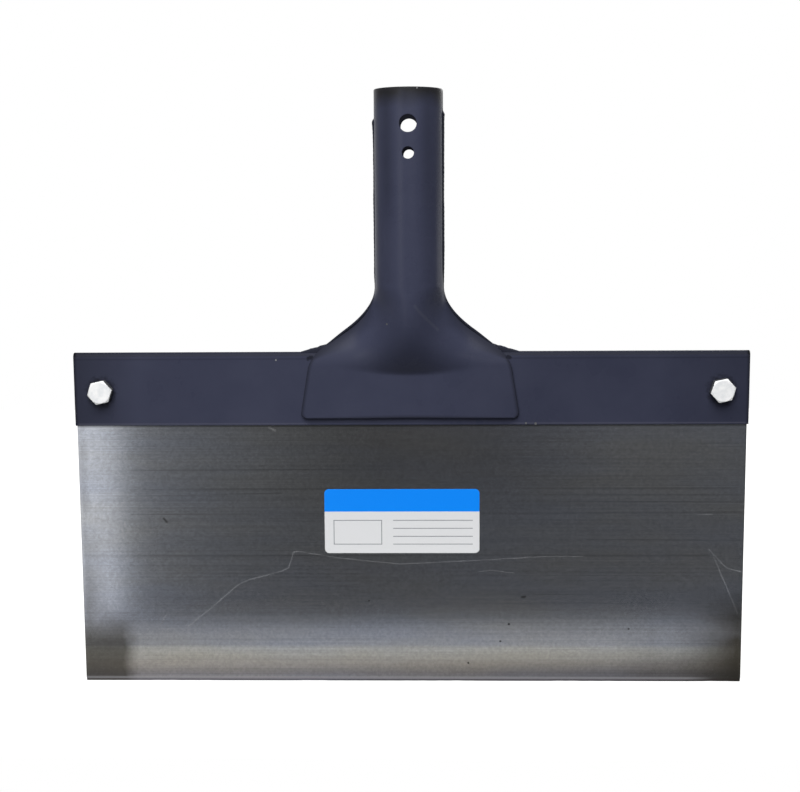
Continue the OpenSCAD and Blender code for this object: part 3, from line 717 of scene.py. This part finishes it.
def seamWeld(name, node, side, start):
    # Oval rings along the shells' meeting edge: a blob e^(-run / fall) at the start, and flush with the flare
    first = start - shell["tubeLength"]
    last = shell["flareLength"] - weld["toeHeight"]
    d = np.linspace(first, last, int((last - first) / weld["step"]))[:, None]
    lean = flareSlope * np.clip(d / shell["flareBend"], 0, 1)
    out = np.stack([np.ones_like(d), np.zeros_like(d), lean], -1) / np.sqrt(1 + lean ** 2)[..., None]
    edge = np.stack([shellSide(d), np.zeros_like(d), -shell["tubeLength"] - d], -1)
    run = d - first
    held = 1 - ease(d / weld["fade"] + 0.5)
    waves = weld["uneven"] * wavy(d + weld["unevenShift"] * side, *weld["unevenTurns"])
    proud = weld["proud"] * held + weld["blob"] * np.exp(-run / weld["blobFall"])
    proud = (proud + waves * held) * ease(run / weld["blobRise"])
    deep = (proud + weld["depth"]) / 2
    halfY = deep + rimRise(d) * padY * weld["fill"] + weld["overTube"][side > 0] * held
    lag = weld["rippleLag"] * np.abs(np.sin(weldAngle))
    swell = weld["ripple"] * np.sin(2 * np.pi * (d / weld["ripplePitch"] + lag)) * held
    centre = edge + out * (proud - deep)[..., None]
    ring = centre + out * ((deep + swell) * np.cos(weldAngle))[..., None] \
        + np.array([0, 1, 0]) * ((halfY + swell) * np.sin(weldAngle))[..., None]
    ring = np.concatenate([np.broadcast_to(centre[:1], ring[:1].shape), ring,
                           np.broadcast_to(centre[-1:], ring[:1].shape)])
    makeBead(name, node, ring, side, weld["sootAndShade"])


def toeWeld(name, node, side):
    # Rings out along the fold, |y / w|^4 + |z / h|^4 = 1: the height falls in a straight line and the width
    # tapers
    inside = shellSide(shell["flareLength"] - weld["toeHeight"])
    outside = shell["padTop"] / 2 + weld["toeReach"]
    t = np.linspace(0, 1, weld["toeRows"])[:, None]
    x = inside + (outside - inside) * t
    lump = 1 + weld["toeLump"] * wavy(x + weld["lumpShift"] * side, *weld["lumpTurns"]) * np.sin(np.pi * t)
    top = holderTop + (weld["toeHeight"] * (1 - t) + weld["toeTip"]) * lump
    foot = holderTop - holderHalf
    wide = weld["toeHalf"] + (weld["toeTipHalf"] - weld["toeHalf"]) * t
    across, up = (np.sign(wave) * np.sqrt(np.abs(wave)) for wave in (np.sin(weldAngle), np.cos(weldAngle)))
    ring = np.stack(np.broadcast_arrays(x, wide * across, (top + foot) / 2 + (top - foot) / 2 * up), -1)
    ends = [np.broadcast_to(ring[k].mean(0), ring[:1].shape) for k in (0, -1)]
    makeBead(name, node, np.concatenate([ends[0], ring, ends[1]]), side, weld["toeSoot"])


for side, end, start in zip((-1, 1), ("left", "right"), weld["starts"]):
    seamWeld("seamBead" + end.title(), "seam_weld_" + end, side, start)
    toeWeld("toeBead" + end.title(), "toe_weld_" + end, side)


# Holder: one sheet folded over the blade's top edge

holder = {
    "rimRound": 0.35, "rows": 26, "columns": 160, "foldSteps": 25, "rowGap": 0.1,
    # painted shade on a line below the fold, over the fold and at both ends, and a painted highlight along
    # the foot
    "crease": 3.0, "creaseHalf": 0.45, "creaseShade": 0.3, "foldShade": 0.55, "foldFade": 0.35,
    "footHighlight": -0.25, "footHeight": 0.75, "footHalf": 0.5, "endShade": 0.5, "endWidth": 1.6,
    # painted shadow in a strip below the pad
    "padShadow": 0.22, "padShadowHalf": 47.0, "padShadowFade": 3.0, "padShadowRise": 0.6,
}


def bladeHolder():
    # Section of the sheet: up the front leaf, half a circle over the fold, down the rear leaf
    bend = holderTop - holderHalf
    leaf = rimmed(holderLow[2], 2 * bend - holderLow[2], 2 * holder["rows"], holder["rimRound"])
    crease = holderTop - holder["crease"]
    near = crease + holder["creaseHalf"] * np.linspace(-1, 1, 5)
    foot = holderLow[2] + holder["footHeight"]
    worn = foot + holder["footHalf"] * np.linspace(-0.5, 1, 4)
    rise = np.concatenate([leaf[leaf < near[0] - holder["rowGap"]], near])
    rise = np.insert(rise, np.searchsorted(rise, worn), worn)
    swing = np.linspace(0, np.pi, holder["foldSteps"])
    x = rimmed(holderLow[0], holderHigh[0], holder["columns"], holder["rimRound"])
    inset = holderHigh[0] - holder["endWidth"] * np.array([1.0, 0.5])
    x = np.sort(np.concatenate([x, inset, -inset]))

    def face(radius):
        y = np.concatenate([np.full(len(rise), -radius), -radius * np.cos(swing), np.full(len(rise), radius)])
        z = np.concatenate([rise, bend + radius * np.sin(swing), rise[::-1]])
        return np.stack(np.broadcast_arrays(x[None, :], y[:, None], z[:, None]), -1)

    outer, inner = sheetSkin(face(holderHalf), face(bladeHalf), holder["rimRound"])[:2]
    # painted shade along the crease line and over the fold, a painted highlight at the foot, a painted shadow
    # below the pad, and painted shade at the ends
    line = holder["creaseShade"] * (1 - ease(np.abs(rise - crease) / holder["creaseHalf"]))
    line += holder["footHighlight"] * (1 - ease(np.abs(rise - foot) / holder["footHalf"]))
    over = holder["foldShade"] * ease(np.sin(swing) / holder["foldFade"])
    strip = holder["padShadow"] * ease(holderTop - shell["padHeight"] + holder["padShadowRise"] - rise)
    strip = np.concatenate([strip, 0 * over, strip[::-1]])[:, None]
    strip = strip * ease((holder["padShadowHalf"] - np.abs(x)) / holder["padShadowFade"])
    ends = holder["endShade"] * ease((np.abs(x) - inset[0]) / (inset[1] - inset[0]))
    sootAndShade = np.concatenate([line, over, line[::-1]])[:, None] + strip + ends
    makePiece("foldedHolder", [patch(outer, sootAndShade=sootAndShade), patch(inner)], paintMaterial, "head",
              ["blade_holder"])


bladeHolder()


# Blade: a flat plate with one bevel ground on the front of its edge

blade = {
    "bevel": 2.2, "edge": 0.3, "rimRound": 0.08, "rows": 90, "columns": 220, "bevelRows": 8, "bevelFoot": 0.1,
    "nick": 0.12, "nickTurns": (61.0, 23.0, 7.7), "nickFade": 2.5, "sharpDegrees": 20,
}


def bladePlate():
    # Front face y = -half, except on the bevel, which runs back in a straight line to the edge's thickness
    z = rimmed(bladeLow[2], bladeHigh[2], blade["rows"], blade["rimRound"])
    bevel = bladeLow[2] + blade["bevel"] * np.linspace(blade["bevelFoot"], 1, blade["bevelRows"])
    z = np.unique(np.concatenate([z, bevel]))
    z = np.concatenate([z[:1], z, z[-1:]])
    x = rimmed(bladeLow[0], bladeHigh[0], blade["columns"], blade["rimRound"])
    up = z - bladeLow[2]
    back = bladeHalf - blade["edge"] - up / blade["bevel"] * (2 * bladeHalf - blade["edge"])
    front = np.maximum(back, -bladeHalf)
    worn = blade["nick"] * np.clip(wavy(x, *blade["nickTurns"]), 0, 1)
    lifted = z[:, None] + worn[None, :] * np.exp(-up / blade["nickFade"])[:, None]
    grid = [np.stack(np.broadcast_arrays(x[None, :], y, lifted), -1) for y in (front[:, None], bladeHalf)]
    faces = sheetSkin(*grid, blade["rimRound"])[:2]
    makePiece("groundBlade", [patch(face) for face in faces], steelMaterial, "head",
              ["blade"], sharpDegrees=blade["sharpDegrees"], flatUv=True)


bladePlate()


# Fasteners: everything turns about a bolt's axis along Y, with x = r sin t and z = r cos t

fastener = {
    "flats": 9.8, "turn": 12.0, "faceShare": 0.95, "cornerPower": 60, "cone": 30.0, "shank": 3.0,
    "pitch": 1.0, "threadDepth": 0.55, "threadPlay": 0.04, "tip": 0.6, "mouth": 3.35, "mouthDepth": 0.2,
    "washerHole": 3.2, "washerRound": 0.25, "sideShade": 0.9, "sharpDegrees": 28,
    "columns": 96, "threadRows": 12, "faceRows": 6, "coneRows": 7, "boltSides": 4, "nutSides": 3,
    "rowGap": 0.1, "threadGap": 0.05,
}
turnAngle = np.linspace(0, 2 * np.pi, fastener["columns"], endpoint=False)[None, :]
faceRadius = fastener["flats"] / 2 * fastener["faceShare"]


def hexRadius(angle):
    # A hexagon with soft corners: the sum over its three pairs of flats of |cos|^p, to the power -1/p
    p = fastener["cornerPower"]
    flats = [np.abs(np.cos(angle - math.radians(90 - fastener["turn"] + 30 + 60 * k))) ** p for k in range(3)]
    return fastener["flats"] / 2 * sum(flats) ** (-1 / p)


# The chamfer at a hexagon's face: radius limits up its cone, how far each is from the face, and the rings
coneEnd = fastener["flats"] / 2 / math.cos(math.radians(30)) + fastener["rowGap"]
coneLimit = np.linspace(faceRadius, coneEnd, fastener["coneRows"])
coneDrop = (coneLimit - faceRadius) * math.tan(math.radians(fastener["cone"]))
coneRings = np.minimum(hexRadius(turnAngle), coneLimit[:, None])


def thread(along, crest):  # a right-hand ridge: depth times |2 frac(y / pitch - t / turn) - 1|
    turnShare = np.mod(along / fastener["pitch"] - turnAngle / (2 * np.pi), 1)
    return crest - fastener["threadDepth"] * np.abs(2 * turnShare - 1)


def turnedBox(node):  # a fastener's corners, and where its axis is in x and z
    low, high = boxMm(node)
    return low, high, ((low[0] + high[0]) / 2, (low[2] + high[2]) / 2)


def spun(centre, radius, along):
    x = centre[0] + radius * np.sin(turnAngle)
    z = centre[1] + radius * np.cos(turnAngle)
    return np.stack(np.broadcast_arrays(x, along[:, None], z), -1)


def hexBolt(name, node):
    # Rings from the middle of the head's face over its chamfer and sides, in to the shank, and along the
    # thread to a 45 degree tip
    low, high, centre = turnedBox(node)
    under = -holderHalf
    face = np.linspace(0, faceRadius, fastener["faceRows"])[:-1, None] + 0 * turnAngle
    sides = np.repeat(hexRadius(turnAngle), fastener["boltSides"], 0)
    plain = np.full((2, fastener["columns"]), fastener["shank"])
    turns = np.arange(holderHalf, high[1], fastener["pitch"] / fastener["threadRows"])
    turns = np.append(turns, high[1])[:, None]
    tipLimit = fastener["shank"] - np.clip(turns - high[1] + fastener["tip"], 0, None)
    ridge = np.minimum(thread(turns, fastener["shank"]), tipLimit)
    radius = np.concatenate([face, coneRings, sides, plain, ridge, 0 * turnAngle])
    coneFoot = low[1] + coneDrop[-1]
    along = np.concatenate([np.full(len(face), low[1]), low[1] + coneDrop,
                            np.linspace(coneFoot + fastener["rowGap"], under, len(sides)),
                            [under, holderHalf - fastener["threadGap"]], turns[:, 0], [high[1]]])
    # painted shade on the head's sides
    shadedSides = (along > coneFoot) & (along < under + fastener["rowGap"])
    sootAndShade = np.broadcast_to(np.where(shadedSides, fastener["sideShade"], 0)[:, None], radius.shape)
    makePiece(name, [patch(spun(centre, radius, along), closed=True, sootAndShade=sootAndShade)], zincMaterial, "head",
              [node], sharpDegrees=fastener["sharpDegrees"])


def hexNut(name, node):
    # Rings out over one face, along the sides between two chamfers, in over the other face and back through
    # the thread
    low, high, centre = turnedBox(node)
    sides = np.repeat(hexRadius(turnAngle), fastener["nutSides"], 0)
    mouth = np.array([fastener["mouth"], faceRadius])[:, None] + 0 * turnAngle
    crest = fastener["shank"] + fastener["threadPlay"]
    flare = fastener["mouth"] - crest + fastener["mouthDepth"]
    turns = np.arange(low[1] + flare, high[1] - flare, fastener["pitch"] / fastener["threadRows"])[::-1, None]
    bore = thread(turns, crest)
    radius = np.concatenate([mouth, coneRings[1:], sides, coneRings[:0:-1], mouth[::-1], bore, mouth[:1]])
    rise = low[1] + coneDrop[1:]
    fall = high[1] - coneDrop[:0:-1]
    flats = np.linspace(rise[-1] + fastener["rowGap"], fall[0] - fastener["rowGap"], len(sides))
    along = np.concatenate([[low[1]] * 2, rise, flats, fall, [high[1]] * 2, turns[:, 0], [low[1]]])
    makePiece(name, [patch(spun(centre, radius, along), closed=True)], zincMaterial, node,
              [node], sharpDegrees=fastener["sharpDegrees"])


def plainWasher(name, node):
    # Rings round a rectangular section, with a quarter round at each of its corners
    low, high, centre = turnedBox(node)
    outerRadius = (high[0] - low[0]) / 2
    r = fastener["washerRound"]
    corners = [(outerRadius - r, high[1] - r, 0), (outerRadius - r, low[1] + r, 1),
               (fastener["washerHole"] + r, low[1] + r, 2), (fastener["washerHole"] + r, high[1] - r, 3)]
    radius = np.concatenate([x + r * np.sin(quarter + k * np.pi / 2) for x, _, k in corners])
    along = np.concatenate([y + r * np.cos(quarter + k * np.pi / 2) for _, y, k in corners])
    radius, along = np.append(radius, radius[0]), np.append(along, along[0])
    makePiece(name, [patch(spun(centre, radius[:, None], along), closed=True)], zincMaterial, node,
              [node])


for end in ("left", "right"):
    hexBolt("bolt." + end, "bolt_" + end)
    plainWasher("washer." + end, "washer_" + end)
    hexNut("nut." + end, "nut_" + end)


# Label: thin film with round corners, flat on the blade

def blankLabel():
    # Half width at each height: the label's own, less a round corner at the top and at the foot
    r = labelForm["corner"]
    tall = labelHigh[2] - labelLow[2]
    corner = r * (1 - np.sin(np.linspace(0, np.pi / 2, labelForm["cornerSteps"])))
    rise = np.concatenate([corner[::-1], np.linspace(r, tall - r, labelForm["rows"])[1:-1], tall - corner])
    rise = np.concatenate([rise[:1], rise, rise[-1:]])
    half = (labelHigh[0] - labelLow[0]) / 2 - cornerCut(rise, tall, r) - cornerCut(tall - rise, tall, r)
    u = np.concatenate([[-1], np.linspace(-1, 1, labelForm["columns"]), [1]])
    x = (labelLow[0] + labelHigh[0]) / 2 + half[:, None] * u[None, :]
    z = labelLow[2] + rise[:, None]
    faces = [np.stack(np.broadcast_arrays(x, y, z), -1) for y in (labelLow[1], labelHigh[1])]
    faces = sheetSkin(*faces, labelForm["rimRound"])[:2]
    makePiece("blankLabel", [patch(face) for face in faces], labelMaterial, "head", ["label"])


blankLabel()


# Stage, lamps and camera

studio = {
    "floorFront": 92.0, "floorSide": 900.0, "floorBack": 900.0, "floorColour": "#b4b4b3", "floorToEye": 0.75,
    "floorToMetal": 0.19, "ambient": 0.05, "roomInMetal": 0.104,
    # pale parts of the room by direction, where X and Y run from -1 to 1: from and to, and the level they add
    "leftRise": (-0.05, -0.35), "leftEnd": (-0.55, -0.4), "leftInMetal": 0.4,
    "rightRise": (0.07, 0.2), "rightInMetal": 0.018,
    "behind": (0.3, 0.7), "aside": (0.2, 0.5), "sidesInMetal": 0.85,
    # place and aim in mm, width and height in m, power in W
    "lamps": {"key": ((-250, -2237, 2552), (0, 0, -114), 2.6, 2.6, 158.0),
              "fill": ((285, -1450, 200), (0, 0, 200), 0.68, 0.34, 1.5),
              "back": ((500, 1300, 700), (0, 0, -114), 1.2, 1.2, 16.0),
              "lowWindow": ((-513, -960, -428), (0, 0, -428), 0.32, 0.425, 0.325),
              "window": ((-513, -960, 20), (0, 0, 20), 0.28, 0.34, 1.15),
              "side": ((1348, 657, -130), (0, 0, -45), 0.64, 0.2, 0.9)},
}


def whiteFloor():  # plain pale sheet under the tool: lit, and topped up where eye or metal looks at it
    low = (-studio["floorSide"], -studio["floorFront"])
    high = (studio["floorSide"], studio["floorBack"])
    corners = [(low[0], low[1]), (high[0], low[1]), (high[0], high[1]), (low[0], high[1])]
    mesh = bpy.data.meshes.new("floor")
    mesh.from_pydata([(x * mm, y * mm, bladeLow[2] * mm) for x, y in corners], [], [(0, 1, 2, 3)])
    material, tree = newMaterial("matt white paper")
    seen = addNode(tree, "LightPath").outputs
    direct = strongest(tree, [seen["Is Camera Ray"], seen["Is Transmission Ray"]])
    toEye = addNode(tree, "Math", (direct, studio["floorToEye"]), operation="MULTIPLY")
    level = addNode(tree, "Math", (seen["Is Glossy Ray"], studio["floorToMetal"], toEye),
                    operation="MULTIPLY_ADD")
    lit = addNode(tree, "BsdfDiffuse", {"Color": studio["floorColour"]})
    topUp = addNode(tree, "Emission", {"Strength": level})
    both = addNode(tree, "AddShader", (lit, topUp))
    addNode(tree, "OutputMaterial", (both,))
    mesh.materials.append(material)
    floor = bpy.data.objects.new("floor", mesh)
    scene.collection.objects.link(floor)


def studioWorld():  # white to the eye and through glass; in metal a dim room, paler at its sides
    world = bpy.data.worlds.new("studio")
    scene.world = world
    world.use_nodes = True
    tree = world.node_tree
    tree.nodes.clear()
    seen = addNode(tree, "LightPath").outputs
    towards = addNode(tree, "TexCoord").outputs["Generated"]
    axes = addNode(tree, "SeparateXYZ", (towards,)).outputs
    # Towards the window the room's level rises as the square of the way to the left
    left = addNode(tree, "MapRange", (axes["X"], *studio["leftRise"]))
    left = addNode(tree, "Math", (left, left), operation="MULTIPLY")
    ending = addNode(tree, "MapRange", (axes["X"], *studio["leftEnd"], 0, studio["leftInMetal"]))
    left = addNode(tree, "Math", (left, ending), operation="MULTIPLY")
    right = addNode(tree, "MapRange", (axes["X"], *studio["rightRise"], studio["roomInMetal"],
                                       studio["roomInMetal"] + studio["rightInMetal"]))
    room = addNode(tree, "Math", (left, right), operation="ADD")
    # Behind the tool both sides are pale
    behind = addNode(tree, "MapRange", (axes["Y"], *studio["behind"]))
    aside = addNode(tree, "Math", (axes["X"],), operation="ABSOLUTE")
    aside = addNode(tree, "MapRange", (aside, *studio["aside"]))
    sides = addNode(tree, "Math", (behind, aside), operation="MULTIPLY")
    room = addNode(tree, "Math", (sides, studio["sidesInMetal"], room), operation="MULTIPLY_ADD")
    inMetal = addNode(tree, "Mix", {0: seen["Is Glossy Ray"], 2: studio["ambient"], 3: room})
    direct = strongest(tree, [seen["Is Camera Ray"], seen["Is Transmission Ray"]])
    sky = addNode(tree, "Background", {"Color": (1, 1, 1, 1), "Strength": strongest(tree, [direct, inMetal])})
    addNode(tree, "OutputWorld", (sky,))


def areaLamp(name, place, aim, width, height, power):
    lamp = bpy.data.lights.new(name, "AREA")
    lamp.shape = "RECTANGLE"
    lamp.size, lamp.size_y, lamp.energy = width, height, power
    stand = bpy.data.objects.new(name, lamp)
    scene.collection.objects.link(stand)
    stand.location = Vector(place) * mm
    stand.rotation_euler = (Vector(aim) * mm - stand.location).to_track_quat("-Z", "Y").to_euler()
    stand.visible_camera = False


# Place in mm, angles in degrees, lens and sensor in mm, clipping in m
photoView = {"place": (11.6, -620.5, -53.6), "pitch": 7.422, "yaw": -1.481, "roll": 0.369, "lens": 62.96,
             "sensor": 36.0, "clip": (0.01, 20.0)}


def photoCamera():
    pitch, yaw, roll = (math.radians(photoView[key]) for key in ("pitch", "yaw", "roll"))
    ahead = Vector((math.sin(yaw) * math.cos(pitch), math.cos(yaw) * math.cos(pitch), -math.sin(pitch)))
    right = Vector((math.cos(yaw), -math.sin(yaw), 0))
    down = ahead.cross(right)
    across = right * math.cos(roll) + down * math.sin(roll)
    below = down * math.cos(roll) - right * math.sin(roll)
    data = bpy.data.cameras.new("camera")
    data.lens, data.sensor_width, data.sensor_fit = photoView["lens"], photoView["sensor"], "HORIZONTAL"
    data.clip_start, data.clip_end = photoView["clip"]
    camera = bpy.data.objects.new("camera", data)
    scene.collection.objects.link(camera)
    turned = Matrix((across, -below, -ahead)).transposed().to_4x4()
    turned.translation = Vector(photoView["place"]) * mm
    camera.matrix_world = turned
    scene.camera = camera


whiteFloor()
studioWorld()
for name, form in studio["lamps"].items():
    areaLamp(name, *form)
photoCamera()
print("stage, lamps and camera ready")
